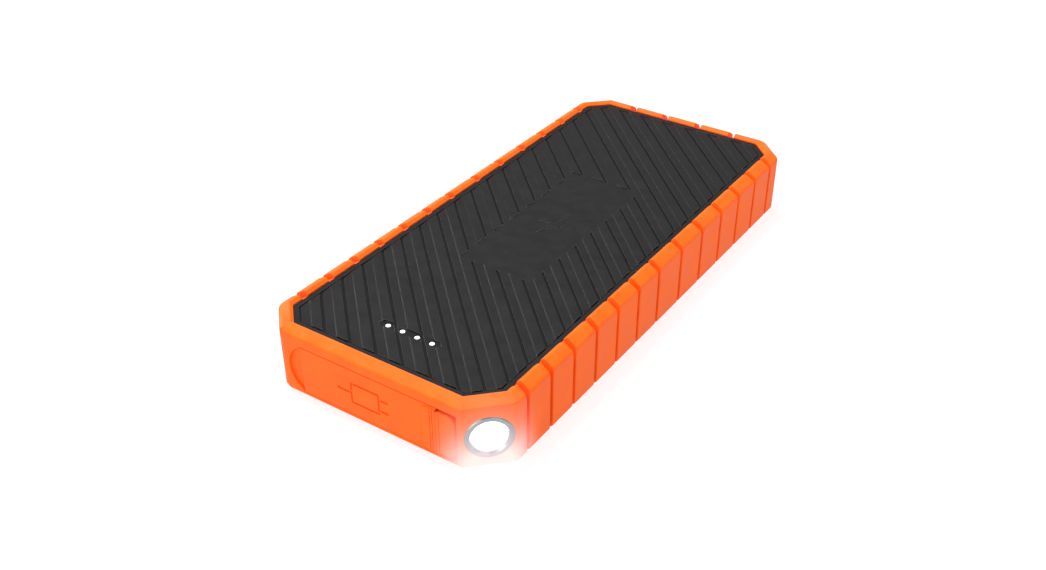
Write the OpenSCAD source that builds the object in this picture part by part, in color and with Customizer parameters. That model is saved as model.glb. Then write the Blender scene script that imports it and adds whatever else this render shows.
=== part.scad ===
// Rugged jump starter pack: two hard covers in a ribbed rubber bumper, a stack of pouch cells,
// a power board with its sockets behind a hinged rubber flap, and a torch in one corner.
// Origin: centre of the footprint, on the surface it rests on. +X width, +Y length, +Z up.
// The flap is in the -Y end and the torch in the +X, -Y corner.

/* [Overall] */
// Length over the bumper and the flap's strap
body_l = 179; // [165:1:225]
// Width over the bumper
body_w = 80; // [80:1:110]
// Height over the bumper
body_h = 23.2; // [23.2:0.2:30]
// Leg of the three plain corner cuts
corner_cut = 8.8; // [6:0.2:12]
// Leg of the corner cut that holds the torch
torch_cut = 10.2; // [10:0.2:13]

/* [Bumper] */
// Thickness of the bumper round the covers
bumper_t = 4.5; // [4:0.1:6]
// Height that the bumper stands above and below the covers
rim_h = 1.0; // [0.6:0.1:2]
// Width of the flat on top of the rim
rim_flat = 1.6; // [1:0.1:2.5]
// Drop of the chamfer outside the rim
rim_drop = 1.8; // [1:0.1:3]
// Size of the chamfer inside the rim
rim_in = 0.8; // [0.2:0.1:0.9]
// Rise of the chamfer at the foot
foot_rise = 2.6; // [1:0.1:4]
// Width of a slot between two pads
slot_w = 1.3; // [0.8:0.1:2]
// Depth of a slot in the side
slot_d = 1.6; // [1:0.1:2]
// Depth of a slot in the rim
slot_rim_d = 1.3; // [0.8:0.1:1.6]
// How much wider a slot is at the rim
slot_flare = 1.5; // [0:0.1:2]
// First and last slot, measured from the ends
slot_margin = 15.6; // [13:0.1:20]
// Slots in the far end
end_slots = 4; // [2:1:6]
// Spacing of the slots in the far end
end_pitch = 13.1; // [8:0.1:16]

/* [Covers] */
// Thickness of the covers' side walls
wall_t = 2.0; // [1.6:0.1:2.6]
// Thickness of the top plate
top_t = 2.2; // [2:0.1:3]
// Thickness of the bottom plate
bottom_t = 2.0; // [1.6:0.1:3]
// Width of the locking rib round the joint line
lock_out = 1.2; // [0.8:0.1:2]
// Height of the locking rib on each cover
lock_h = 1.2; // [0.8:0.1:2]
// Flat border round the slats
border_w = 2.0; // [1:0.1:4]
// How far the border lies below the slats
border_d = 0.15; // [0:0.05:0.4]
// Width of the groove between the border and the slats
border_groove_w = 0.4; // [0.2:0.1:0.8]
// Spacing of the slats along the length
slat_pitch = 9.0; // [6:0.5:14]
// Place of the first groove along the centre line
slat_shift = 4.3; // [0:0.1:9]
// Depth of the groove between two slats
groove_d = 0.65; // [0.3:0.05:0.9]
// Depth of the low half of a slat
low_d = 0.32; // [0.1:0.02:0.5]
// Width of the groove between two slats
groove_w = 0.9; // [0.5:0.1:1.5]
// Width of the smooth plaque
plaque_w = 25.2; // [16:0.2:36]
// Length of the smooth plaque
plaque_l = 64; // [40:1:90]
// Radius of the covers' screw bosses
boss_r = 2.6; // [2.4:0.1:3]

/* [Flap and ports] */
// Height of the flap
flap_h = 14.5; // [13.5:0.1:15]
// Thickness of the flap's plate
flap_t = 1.6; // [1.2:0.1:1.6]
// Height that the strap stands proud of the front
strap_proud = 0.5; // [0.3:0.1:0.8]
// Gap round each moving piece
move_gap = 0.3; // [0.25:0.05:0.5]
// Depth of the finger scoop beside the flap
scoop_depth = 0.9; // [0.6:0.1:1.5]
// Depth of the grooves that help the strap to bend
flex_d = 0.2; // [0.1:0.05:0.3]
// Depth of the flap's sealing rib
rib_d = 1.6; // [1:0.1:2]
// Width of the jump socket's housing
jump_w = 15.4; // [15:0.1:16]
// Height of the jump socket's housing
jump_h = 8.6; // [8:0.1:9]
// Radius of the bore in each jump contact
jump_bore_r = 2.5; // [2:0.05:2.6]
// Spacing of the jump contacts
jump_pitch = 8.0; // [7.6:0.1:8.4]
// Length of the bore in each jump contact
jump_bore_l = 11; // [8:0.5:11]

/* [Torch and gauge] */
// Radius of the torch's bezel
bezel_r = 6.65; // [6:0.05:6.8]
// Radius of the torch's lens
lens_r = 4.6; // [4.4:0.05:5.2]
// Lights in the charge gauge
gauge_count = 4; // [3:1:5]
// Spacing of the gauge lights
gauge_pitch = 5.0; // [4:0.1:6]
// Gauge centre, measured from the covers' front edge
gauge_in = 13.9; // [12:0.1:16]
// Radius of a gauge light
gauge_r = 0.7; // [0.6:0.05:1.1]

/* [Power button] */
// Width of the button
button_w = 6.4; // [5:0.1:7]
// Height of the button
button_h = 11; // [8:0.1:12]
// Travel of the button
button_travel = 0.4; // [0.3:0.05:0.5]

/* [Cells] */
// Thickness of one cell
cell_t = 5.0; // [4:0.1:5]
// Width of a cell
cell_w = 60; // [50:1:60]
// Space kept clear behind the cells
cell_back = 5.2; // [5.2:0.1:8]
// Space kept clear in front of the cells
cell_front = 44.8; // [44.8:0.1:60]

/* [Board] */
// Thickness of a circuit board
board_t = 1.6; // [1:0.1:2]
// Length of the main board
board_l = 31; // [31:0.5:34]

/* [Hidden] */
$fn = 48;

fit = 0.05;                       // gap between pieces that sit still against each other
sqrt2 = sqrt(2);
cut_k = 2 - sqrt2;                // change of a corner cut's leg per unit of offset
far = 2 * body_l;                 // longer than anything

// Planes of the outside
face_y = -body_l / 2 + strap_proud;
back_y = body_l / 2;
side_x = body_w / 2;
rim_run = bumper_t - rim_flat;
mid_z = body_h / 2;

// Covers
shell_w = body_w - 2 * bumper_t;
shell_y = body_l / 2 - bumper_t;
shell_cut = corner_cut - cut_k * bumper_t;
shell_torch_cut = torch_cut - cut_k * bumper_t;
top_z = body_h - rim_h;
base_z = rim_h;
roof_z = top_z - top_t;
floor_z = base_z + bottom_t;
in_x = shell_w / 2 - wall_t;
in_y = shell_y - wall_t;

// Flap and sockets
hinge_x = side_x - 18;
strap_x0 = hinge_x - 4.5;
anchor_x1 = side_x - 12;
flap_x0 = -side_x + 15.8;
scoop_x0 = -side_x + 11.1;
flap_z = mid_z - 0.6;
flap_z0 = flap_z - flap_h / 2;
strap_h = flap_h - 1;
flex_step = 0.75;                 // grooves from the hinge line and from each other
win_in = 1.5;
win_x0 = flap_x0 + win_in;
win_x1 = hinge_x - 2.3;
win_h = flap_h - 2 * win_in;
rib_gap = 0.4;
rib_t = 1.2;
plate_t = 1.4;
plate_y = -in_y + fit;
port_y = -in_y - 0.1;             // front of the sockets
usb_a_w = 13.1;
usb_a_h = 5.7;
usb_a_l = 14;
usb_c_w = 8.94;
usb_c_h = 3.26;
usb_c_l = 7.3;
usb_t = 0.3;
port_gap = (win_x1 - win_x0 - jump_w - usb_c_w - usb_a_w) / 4;
jump_x = win_x0 + port_gap + jump_w / 2;
usb_c_x = jump_x + jump_w / 2 + port_gap + usb_c_w / 2;
usb_a_x = usb_c_x + usb_c_w / 2 + port_gap + usb_a_w / 2;
jump_l = 12.6;
jump_wall = 0.5;
jump_mouth = 0.9;                 // depth of the contacts behind the housing's face
contact_end = port_y + jump_l + 2.5;

// Main board
board_top = flap_z - usb_a_h / 2 - fit;
board_y0 = -in_y + 2.5;
board_y1 = board_y0 + board_l;
board_x0 = -in_x + 1;
board_x1 = in_x - 6.5;
board_step_x = usb_a_x + usb_a_w / 2 + 2;
board_step_y = -in_y + 16;
post_r = 2.0;
post_hole_r = 0.9;
post_head_r = 1.8;
post_in = 3.5;                    // posts from the board's edge

// Parts on the main board
coil_w = 11.6;
coil_h = 4.8;
coil_x = jump_x;
coil_y = board_y1 - 8.5;
chip_w = 5.2;
chip_l = 5.8;
chip_h = 1.1;
sink_w = 20;
sink_l = 13.5;
sink_h = 5.2;
sink_x = usb_c_x + 4.4;
sink_y = board_y1 - 8.2;
can_r = 3.1;
can_h = 7.4;
can_pitch = 7.2;
can_x = min(sink_x + sink_w / 2 + 3.9, board_x1 - post_in - post_head_r - can_r - 0.3);

// Torch frame: +Z points out of the corner, 0 is the bumper's face
torch_reach = (side_x - face_y - torch_cut) / sqrt2;
torch_x = side_x - torch_cut / 2;
torch_y = face_y + torch_cut / 2;
torch_wall = torch_reach - (shell_w / 2 + shell_y - shell_torch_cut) / sqrt2;
neck_r = 4.9;
reflector_back = torch_wall + wall_t + 2.5;

// Gauge
gauge_x = -0.3;
gauge_y = -shell_y + gauge_in;
gauge_recess = 0.5;
gauge_board_t = 1.0;
gauge_board_z = roof_z - 2.4;
gauge_led_z = gauge_board_t + 0.25;
gauge_span = (gauge_count - 1) * gauge_pitch;

// Power button, in the first whole pad of the -X side
function pitch_at(i) = i < 6 ? 11.1 + 0.2 * i : 14.2 - 0.42 * (i - 6);
function run_to(i) = i == 0 ? 0 : run_to(i - 1) + pitch_at(i - 1);
slot_count = 13;
slot_span = body_l - 2 * slot_margin;
function slot_y(i) = -body_l / 2 + slot_margin + slot_span * run_to(i) / run_to(slot_count - 1);
button_y = (slot_y(0) + slot_y(1)) / 2;
button_face_x = -side_x + 0.3;
button_lip = 0.9;
button_lip_x = -shell_w / 2 - 0.8;
stem_r = 1.8;
switch_x = -in_x + 3.4;
switch_l = 3.6;
switch_w = 6;
plunger_r = 0.8;
plunger_x = -in_x + 2.3;

// Cells
cell_count = 3;
cell_y0 = -in_y + cell_front;
cell_y1 = in_y - cell_back;
cell_l = cell_y1 - cell_y0;
tape_t = 0.15;
stack_h = cell_count * cell_t + (cell_count - 1) * tape_t;
foam_t = (roof_z - floor_z - stack_h) / 2 - fit;
stack_z = floor_z + foam_t + fit;
balance_y = cell_y0 - 6.7;
balance_t = 1.0;
lead_r = 1.6;
lead_z = roof_z - 3.2;

// Cover screws: front left, beside the torch, in front of the cells, and the far corners
screws = [
    [-in_x + 4.2, -in_y + 4.2], [in_x - 3.0, -in_y + 19], [-in_x + 3.5, balance_y - 1.1],
    [in_x - 3.5, balance_y - 1.1], [-in_x + 5.5, in_y - 2.4], [in_x - 5.5, in_y - 2.4]
];
screw_r = 1.2;
head_r = 2.2;
head_h = 1.6;
thread_l = 6.2;                   // length of a screw's hole above the joint line

// Posts that carry the main board
posts = [
    [board_x0 + post_in + 0.5, board_y1 - post_in], [board_x1 - post_in, board_y1 - post_in],
    [board_x1 - post_in, board_y1 - 11], [win_x0 - 2.4, board_y0 + 6.4]
];

// ---- Shared shapes ----

module plan(x, y0, y1, cut, cut_torch) {
    polygon([
        [-x + cut, y0], [x - cut_torch, y0], [x, y0 + cut_torch], [x, y1 - cut],
        [x - cut, y1], [-x + cut, y1], [-x, y1 - cut], [-x, y0 + cut]
    ]);
}

// Outline of the covers, moved outwards by grow
module shell_plan(grow) {
    plan(shell_w / 2 + grow, -shell_y - grow, shell_y + grow,
        shell_cut + cut_k * grow, shell_torch_cut + cut_k * grow);
}

module slice(z0, z1) {
    translate([0, 0, z0]) linear_extrude(height = z1 - z0) children();
}

// One side of the bumper's outside, facing angle, with its chamfers at the rim and the foot
module side_form(angle, reach, inset, drop) {
    x = reach - inset;
    z = body_h - drop;
    rotate([0, 0, angle])
        rotate([90, 0, 0])
            linear_extrude(height = 2 * far, center = true)
                polygon([
                    [-far, 0], [x - rim_run, 0], [x, foot_rise], [x, z - rim_drop],
                    [x - rim_run, z], [-far, z]
                ]);
}

// Outside of the bumper, moved inwards by inset and down by drop
module outer_form(inset, drop) {
    corner_back = (side_x + back_y - corner_cut) / sqrt2;
    corner_front = (side_x - face_y - corner_cut) / sqrt2;
    intersection() {
        side_form(0, side_x, inset, drop);
        side_form(45, corner_back, inset, drop);
        side_form(90, back_y, inset, drop);
        side_form(135, corner_back, inset, drop);
        side_form(180, side_x, inset, drop);
        side_form(225, corner_front, inset, drop);
        side_form(270, -face_y, inset, drop);
        side_form(315, torch_reach, inset, drop);
    }
}

// Bar that cuts one slot between two pads, along X and flaring at the rim
module slot_bar() {
    half = slot_w / 2;
    top = half + slot_flare / 2;
    rotate([90, 0, 90]) linear_extrude(height = 2 * bumper_t, center = true) polygon([
        [-half, -body_h], [half, -body_h], [half, body_h / 2 - 4], [top, body_h / 2 + 1],
        [-top, body_h / 2 + 1], [-half, body_h / 2 - 4]
    ]);
}

// Bars that cut the slots between the pads
module slot_bars() {
    for (i = [0 : slot_count - 1], side = [-1, 1])
        translate([side * side_x, slot_y(i), mid_z]) slot_bar();
    for (i = [0 : end_slots - 1])
        translate([(i - (end_slots - 1) / 2) * end_pitch, back_y, mid_z]) rotate([0, 0, 90]) slot_bar();
}

// A box from its low corner to its high corner
module block(a, b) {
    translate(a) cube(b - a);
}

// Pill shape lying along +Y or -X, its long side upright
module pill(w, h, l) {
    linear_extrude(height = l) {
        square([w, h - w], center = true);
        for (s = [-1, 1]) translate([0, s * (h - w) / 2]) circle(d = w);
    }
}

// Places children in the torch's frame
module at_torch() {
    translate([torch_x, torch_y, mid_z]) rotate([0, 0, -45]) rotate([0, 90, 0]) children();
}

// Places children with +Z along +X, at the button's centre
module at_button(x) {
    translate([x, button_y, mid_z]) rotate([90, 0, 90]) children();
}

// The window that the sockets show through
module port_window(y0, y1) {
    block([win_x0, y0, flap_z - win_h / 2], [win_x1, y1, flap_z + win_h / 2]);
}

// Everything that cuts through the covers' walls
module shell_openings() {
    port_window(-shell_y - 2 * bumper_t, -in_y + 1);
    at_torch() {
        translate([0, 0, -torch_wall - wall_t - 3]) cylinder(r = neck_r, h = far);
        translate([0, 0, -torch_wall]) cylinder(r = bezel_r + 0.1, h = far);
    }
    at_button(-side_x) cylinder(r = stem_r + 0.4, h = bumper_t + wall_t + 1);
    at_button(-side_x - 1)
        pill(button_w + 2.6, button_h + 2.6, bumper_t + 1);
}

// Groove and step of every slat, as one sawtooth across the slats
module slat_teeth(count) {
    pitch = slat_pitch / sqrt2;
    for (i = [-count : count])
        translate([i * pitch + slat_shift / sqrt2, 0]) polygon([
            [0, 0], [0, -groove_d], [groove_w, -groove_d], [groove_w, -low_d],
            [pitch * 0.52, -low_d], [pitch * 0.58, 0]
        ]);
}

// What the slats and the plaque take off a cover's face, whose surface is z = 0
module slat_cut(signed) {
    count = ceil((shell_w / 2 + shell_y) / slat_pitch) + 1;
    intersection() {
        translate([0, 0, -1]) linear_extrude(height = 2) shell_plan(-border_w);
        difference() {
            rotate([0, 0, 45]) rotate([90, 0, 0])
                linear_extrude(height = far, center = true) slat_teeth(count);
            cube([plaque_w, plaque_l, 4], center = true);
        }
    }
    if (signed) difference() {
        union() {
            translate([0, 0, -border_d]) linear_extrude(height = 2) shell_plan(1);
            translate([0, 0, -groove_d]) linear_extrude(height = 2) shell_plan(border_groove_w - border_w);
        }
        translate([0, 0, -1]) linear_extrude(height = 4) shell_plan(-border_w);
    }
    difference() {
        translate([0, 0, 1 - low_d]) cube([plaque_w, plaque_l, 2], center = true);
        if (signed) bolt_mark();
    }
}

// Plain bolt sign, raised on the plaque
module bolt_mark() {
    translate([0, 0, -low_d - 0.1]) linear_extrude(height = 0.1 + low_d * 0.6)
        polygon([[1.6, 7], [-4.4, -0.9], [-0.7, -0.9], [-1.6, -7], [4.4, 0.9], [0.7, 0.9]]);
}

function unit(v) = v / norm(v);

// Point at t on the curve that leaves p0 towards p1 and reaches p3 from p2
function bezier(p, t) = pow(1 - t, 3) * p[0] + 3 * t * pow(1 - t, 2) * p[1]
    + 3 * t * t * (1 - t) * p[2] + pow(t, 3) * p[3];

function curve(p, steps) = [for (i = [0 : steps]) bezier(p, i / steps)];

// A wire swept along a path that bends in planes not far from the one that across is square to
module wire(path, r, across) {
    sides = 10;
    last = len(path) - 1;
    rings = [for (i = [0 : last]) let (
        t = unit(path[min(i + 1, last)] - path[max(i - 1, 0)]),
        u = unit(across - (across * t) * t),
        v = cross(t, u))
        for (j = [0 : sides - 1]) path[i] + r * (cos(360 * j / sides) * u + sin(360 * j / sides) * v)];
    walls = [for (i = [0 : last - 1], j = [0 : sides - 1]) let (k = (j + 1) % sides)
        [i * sides + j, (i + 1) * sides + j, (i + 1) * sides + k, i * sides + k]];
    start = [for (j = [0 : sides - 1]) j];
    end = [for (j = [sides - 1 : -1 : 0]) last * sides + j];
    polyhedron(points = rings, faces = concat([start], walls, [end]));
}

// ---- Casing ----

module bumper() {
    flap_y1 = face_y + flap_t + move_gap;
    half = flap_h / 2;
    sag = flap_x0 - move_gap - scoop_x0;
    scoop_r = (half * half + sag * sag) / (2 * sag);
    color("darkorange") difference() {
        outer_form(0, 0);
        difference() {
            slot_bars();
            outer_form(slot_d, slot_rim_d);
        }
        slice(-1, body_h + 1) shell_plan(fit);
        hull() {
            slice(body_h - rim_in, body_h - rim_in / 2) shell_plan(fit);
            slice(body_h, body_h + 1) shell_plan(fit + rim_in);
        }
        slice(mid_z - lock_h - fit, mid_z + lock_h + fit) shell_plan(lock_out + fit);
        port_window(face_y - 1, -in_y);
        block([flap_x0 - move_gap, face_y - 1, flap_z0 - move_gap],
            [anchor_x1 + fit, flap_y1, flap_z0 + flap_h + move_gap]);
        intersection() {
            translate([scoop_x0 + scoop_r, face_y + scoop_depth, flap_z]) rotate([90, 0, 0])
                cylinder(r = scoop_r, h = 4);
            block([scoop_x0 - 1, face_y - 3, 0], [flap_x0 - move_gap, face_y + 3, body_h]);
        }
        at_torch() translate([0, 0, -2 * bumper_t]) cylinder(r = bezel_r + fit, h = far);
        at_button(-side_x - 1) pill(button_w + 2 * move_gap, button_h + 2 * move_gap, 2 * bumper_t);
        at_button(button_lip_x - button_lip - move_gap)
            pill(button_w + 2.6, button_h + 2.6, bumper_t);
    }
}

module top_cover() {
    color("dimgray") difference() {
        union() {
            difference() {
                union() {
                    slice(mid_z, top_z) shell_plan(0);
                    slice(mid_z, mid_z + lock_h) shell_plan(lock_out);
                }
                slice(mid_z - 1, roof_z) shell_plan(-wall_t);
                shell_openings();
            }
            intersection() {
                for (p = screws) translate([p[0], p[1], mid_z])
                    cylinder(r = boss_r, h = top_z - mid_z - 1);
                slice(mid_z, top_z) shell_plan(-wall_t / 2);
            }
            for (s = [-1, 1])
                translate([gauge_x + s * (gauge_span / 2 + 3.2), gauge_y, gauge_board_z + gauge_board_t])
                    cylinder(r = 1.1, h = roof_z - gauge_board_z);
        }
        for (p = screws) translate([p[0], p[1], mid_z - 1]) cylinder(r = screw_r + fit, h = thread_l + 1);
        translate([0, 0, top_z]) slat_cut(true);
        translate([gauge_x, gauge_y, top_z - gauge_recess]) gauge_outline();
        for (i = [0 : gauge_count - 1])
            translate([gauge_x + i * gauge_pitch - gauge_span / 2, gauge_y, roof_z - 1])
                cylinder(r = gauge_r + fit, h = top_t + 2);
    }
}

// Shallow recess with pointed ends round the gauge lights
module gauge_outline() {
    half_l = gauge_span / 2 + 1.8;
    linear_extrude(height = 2) polygon([
        [-half_l - 1.4, 0], [-half_l, -1.4], [half_l, -1.4],
        [half_l + 1.4, 0], [half_l, 1.4], [-half_l, 1.4]
    ]);
}

module bottom_cover() {
    stop_h = 9;
    stop_n = 4;
    stop_t = 1.2;
    stop_x0 = cell_w / 2 + 0.3;
    stop_x1 = in_x + 0.3;
    color("dimgray") difference() {
        union() {
            difference() {
                union() {
                    slice(base_z, mid_z - fit) shell_plan(0);
                    slice(mid_z - lock_h, mid_z - fit) shell_plan(lock_out);
                }
                slice(floor_z, mid_z + 1) shell_plan(-wall_t);
                shell_openings();
                gasket_ring(0);
            }
            intersection() {
                for (p = screws) translate([p[0], p[1], base_z + 1])
                    cylinder(r = boss_r, h = mid_z - fit - base_z - 1);
                slice(base_z, mid_z) shell_plan(-wall_t / 2);
            }
            for (p = posts) translate([p[0], p[1], floor_z - 0.5])
                cylinder(r = post_r, h = board_top - board_t - fit - floor_z + 0.5);
            for (i = [0 : stop_n - 1], s = [-1, 1])
                translate([s * (stop_x0 + stop_x1) / 2, cell_y0 + (i + 0.5) * cell_l / stop_n,
                    floor_z + stop_h / 2 - 0.5])
                    cube([stop_x1 - stop_x0, stop_t, stop_h], center = true);
        }
        for (p = screws) {
            translate([p[0], p[1], base_z - 1]) cylinder(r = head_r + 0.15, h = head_h + 1.3);
            translate([p[0], p[1], base_z]) cylinder(r = screw_r + 0.2, h = mid_z);
        }
        for (p = posts) translate([p[0], p[1], floor_z]) cylinder(r = post_hole_r + fit, h = mid_z);
        difference() {
            translate([0, 0, base_z]) mirror([0, 0, 1]) slat_cut(false);
            for (p = screws) translate([p[0], p[1], 0]) cylinder(r = head_r + 1.2, h = 4);
        }
    }
}

// Ring round the joint line, cut where the walls are open
module gasket_ring(slack) {
    slice(mid_z - 0.7 + slack, mid_z - fit + 0.001) difference() {
        shell_plan(-0.5 - slack);
        shell_plan(-1.4 + slack);
    }
}

module cover_gasket() {
    color("black") difference() {
        gasket_ring(fit / 2);
        shell_openings();
        for (p = screws) translate([p[0], p[1], 0]) cylinder(r = boss_r + 0.1, h = body_h);
    }
}

module cover_screws() {
    color("silver") for (p = screws) translate([p[0], p[1], base_z + 0.25]) difference() {
        union() {
            cylinder(r = head_r, h = head_h);
            cylinder(r = screw_r, h = mid_z + thread_l - 1.2 - base_z);
        }
        translate([0, 0, -1]) cylinder(r = 0.9, h = 1.9, $fn = 6);
    }
}

// ---- Flap ----

// Outline of the strap, whose fixed end has rounded corners
module strap_outline(x0, x1, round) {
    r = 2.5;
    rotate([90, 0, 0]) linear_extrude(height = strap_proud + flap_t) union() {
        translate([x0, -strap_h / 2]) square([x1 - x0 - (round ? r : 0), strap_h]);
        if (round) {
            translate([x1 - r - 1, -strap_h / 2 + r]) square([r + 1, strap_h - 2 * r]);
            for (s = [-1, 1]) translate([x1 - r, s * (strap_h / 2 - r)]) circle(r = r);
        }
    }
}

// Groove across the strap, where it bends
module flex_groove(x) {
    block([x - 0.15, face_y - 2 * strap_proud, flap_z - flap_h],
        [x + 0.15, face_y - strap_proud + flex_d, flap_z + flap_h]);
}

module port_flap() {
    x1 = hinge_x - move_gap;
    y1 = face_y + flap_t;
    color("orange") difference() {
        union() {
            block([flap_x0, face_y, flap_z0], [x1, y1, flap_z0 + flap_h]);
            translate([0, y1, flap_z]) strap_outline(strap_x0, x1, false);
            difference() {
                block([win_x0 + rib_gap, y1 - 0.2, flap_z - win_h / 2 + rib_gap],
                    [win_x1 - rib_gap, y1 + rib_d, flap_z + win_h / 2 - rib_gap]);
                block([win_x0 + rib_gap + rib_t, y1 - 1, flap_z - win_h / 2 + rib_gap + rib_t],
                    [win_x1 - rib_gap - rib_t, y1 + rib_d + 1, flap_z + win_h / 2 - rib_gap - rib_t]);
            }
        }
        translate([-1.8, face_y + 0.35, flap_z]) rotate([90, 0, 0])
            linear_extrude(height = 2) port_sign();
        flex_groove(x1 - flex_step);
        flex_groove(x1 - 2 * flex_step);
    }
}

// Plain sign for a power outlet: a plug with two pins and its lead
module port_sign() {
    difference() {
        square([10, 7], center = true);
        square([8.6, 5.6], center = true);
    }
    for (s = [-1, 1]) translate([6.4, s * 1.8]) square([2.9, 1], center = true);
    translate([-7.3, 0]) square([4.7, 0.9], center = true);
}

module flap_anchor() {
    y1 = face_y + flap_t;
    color("orange") difference() {
        union() {
            translate([0, y1, flap_z]) strap_outline(hinge_x + move_gap, anchor_x1, true);
            block([hinge_x + 1.5, y1 - 0.1, flap_z - 4], [anchor_x1 - 1, y1 + move_gap - 0.02, flap_z + 4]);
        }
        flex_groove(hinge_x + move_gap + flex_step);
    }
}

// ---- Sockets ----

module port_plate() {
    hang = 1.3;
    slack = 0.1;
    color("dimgray") difference() {
        block([win_x0 - hang, plate_y, flap_z - win_h / 2 - hang],
            [win_x1 + hang, plate_y + plate_t, flap_z + win_h / 2 + hang]);
        translate([jump_x, 0, flap_z])
            cube([jump_w + 2 * slack, far, jump_h + 2 * slack], center = true);
        translate([usb_a_x, 0, flap_z])
            cube([usb_a_w + 2 * slack, far, usb_a_h + 2 * slack], center = true);
        translate([usb_c_x, plate_y + 4, usb_c_z()]) rotate([90, 90, 0])
            pill(usb_c_h + 2 * slack, usb_c_w + 2 * slack, 8);
    }
}

function usb_c_z() = board_top + fit + usb_c_h / 2;

module jump_housing() {
    lip = 1.2;
    color("royalblue") difference() {
        union() {
            translate([jump_x - jump_w / 2, port_y, flap_z - jump_h / 2]) cube([jump_w, jump_l, jump_h]);
            translate([jump_x - jump_w / 2 - 0.8, plate_y + plate_t + fit, flap_z - jump_h / 2])
                cube([jump_w + 1.6, lip, jump_h]);
        }
        for (s = [-1, 1]) translate([jump_x + s * jump_pitch / 2, port_y - 1, flap_z])
            rotate([-90, 0, 0]) cylinder(r = jump_bore_r + jump_wall + 0.03, h = jump_l + 2);
    }
}

module jump_contacts() {
    y0 = port_y + jump_mouth;
    color("gold") for (s = [-1, 1]) translate([jump_x + s * jump_pitch / 2, y0, flap_z])
        rotate([-90, 0, 0]) difference() {
            union() {
                cylinder(r = jump_bore_r + jump_wall, h = port_y + jump_l - y0);
                cylinder(r = 2.2, h = contact_end - y0);
            }
            translate([0, 0, -1]) cylinder(r = jump_bore_r, h = jump_bore_l + 1);
        }
}

module usb_a_shell() {
    color("silver") translate([usb_a_x, port_y, flap_z]) difference() {
        translate([-usb_a_w / 2, 0, -usb_a_h / 2]) cube([usb_a_w, usb_a_l, usb_a_h]);
        translate([-usb_a_w / 2 + usb_t, -1, -usb_a_h / 2 + usb_t])
            cube([usb_a_w - 2 * usb_t, usb_a_l, usb_a_h - 2 * usb_t]);
    }
}

module usb_a_tongue() {
    h = usb_a_h - 2 * usb_t - 2 * fit;
    w = usb_a_w - 2 * usb_t - 2 * fit;
    color("white") translate([usb_a_x, port_y, flap_z]) difference() {
        union() {
            translate([-w / 2, usb_a_l - 5, -h / 2]) cube([w, 4 - fit, h]);
            translate([-5.6, 1, h / 2 - 2.3]) cube([11.2, usb_a_l - 5, 1.84]);
        }
        for (i = [-1.5 : 1.5]) translate([i * 2.2 - 0.6, 0.9, h / 2 - 2.4]) cube([1.2, 8, 0.3]);
    }
}

module usb_a_pins() {
    h = usb_a_h - 2 * usb_t - 2 * fit;
    color("gold") for (i = [-1.5 : 1.5])
        translate([usb_a_x + i * 2.2 - 0.5, port_y + 1.6, flap_z + h / 2 - 2.35]) cube([1, 7, 0.22]);
}

module usb_c_shell() {
    color("silver") translate([usb_c_x, port_y, usb_c_z()]) rotate([-90, 90, 0]) difference() {
        pill(usb_c_h, usb_c_w, usb_c_l);
        translate([0, 0, -1]) pill(usb_c_h - 2 * usb_t, usb_c_w - 2 * usb_t, usb_c_l + 0.5);
    }
}

module usb_c_tongue() {
    slack = 2 * usb_t + 2 * fit;
    color("black") translate([usb_c_x, port_y, usb_c_z()]) {
        translate([0, usb_c_l - 2.6, 0]) rotate([-90, 90, 0]) pill(usb_c_h - slack, usb_c_w - slack, 2);
        translate([-3.35, 0.7, -0.35]) cube([6.7, usb_c_l - 3, 0.7]);
    }
}

// ---- Power board ----

module main_board() {
    color("darkgreen") translate([0, 0, board_top - board_t]) linear_extrude(height = board_t)
        difference() {
            intersection() {
                shell_plan(-wall_t - 0.4);
                union() {
                    translate([board_x0, board_y0]) square([board_step_x - board_x0, board_l]);
                    translate([board_x0, board_step_y])
                        square([board_x1 - board_x0, board_y1 - board_step_y]);
                }
            }
            translate([jump_x - jump_w / 2 - 1.2, board_y0 - 1])
                square([jump_w + 2.4, contact_end - board_y0 + 1]);
            for (p = screws) translate(p) circle(r = boss_r + 0.3);
            for (p = posts) translate(p) circle(r = post_hole_r + 0.15);
        }
}

module board_screws() {
    color("silver") for (p = posts) translate([p[0], p[1], board_top + fit]) {
        cylinder(r = post_head_r, h = 1.1);
        translate([0, 0, -5]) cylinder(r = post_hole_r, h = 5.5);
    }
}

module power_inductor() {
    color("gray") translate([coil_x, coil_y, board_top + fit]) difference() {
        union() {
            translate([-coil_w / 2, -coil_w / 2, 0]) cube([coil_w, coil_w, 1.4]);
            cylinder(r = coil_w / 2 - 0.6, h = coil_h);
            cylinder(r = coil_w / 2 - 0.1, h = 2.2);
        }
        translate([0, 0, coil_h - 0.9]) cylinder(r = 1.6, h = 2);
    }
}

module power_transistors() {
    color("black") for (i = [-1 : 1], j = [-0.5, 0.5])
        translate([sink_x + i * (chip_w + 1.2), sink_y + j * (chip_l + 0.8), board_top + fit + chip_h / 2])
            cube([chip_w, chip_l, chip_h], center = true);
}

module heat_spreader() {
    fins = 6;
    z = board_top + chip_h + 2 * fit;
    color("silver") translate([sink_x - sink_w / 2, sink_y - sink_l / 2, z]) {
        cube([sink_w, sink_l, 1.4]);
        for (i = [0 : fins - 1])
            translate([i * (sink_w - 1) / (fins - 1), 0, 1]) cube([1, sink_l, sink_h - 1]);
    }
}

module capacitors() {
    color("lightgray") for (i = [0, 1])
        translate([can_x, board_y1 - 4 - i * can_pitch, board_top + fit]) {
            translate([-can_r - 0.1, -can_r - 0.1, 0]) cube([2 * can_r + 0.2, 2 * can_r + 0.2, 0.8]);
            cylinder(r = can_r, h = can_h);
        }
}

module charge_controller() {
    color("black") translate([usb_c_x - 2.5, port_y + usb_c_l + 1.4, board_top + fit]) cube([5, 5, 0.9]);
}

// ---- Cells ----

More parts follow.
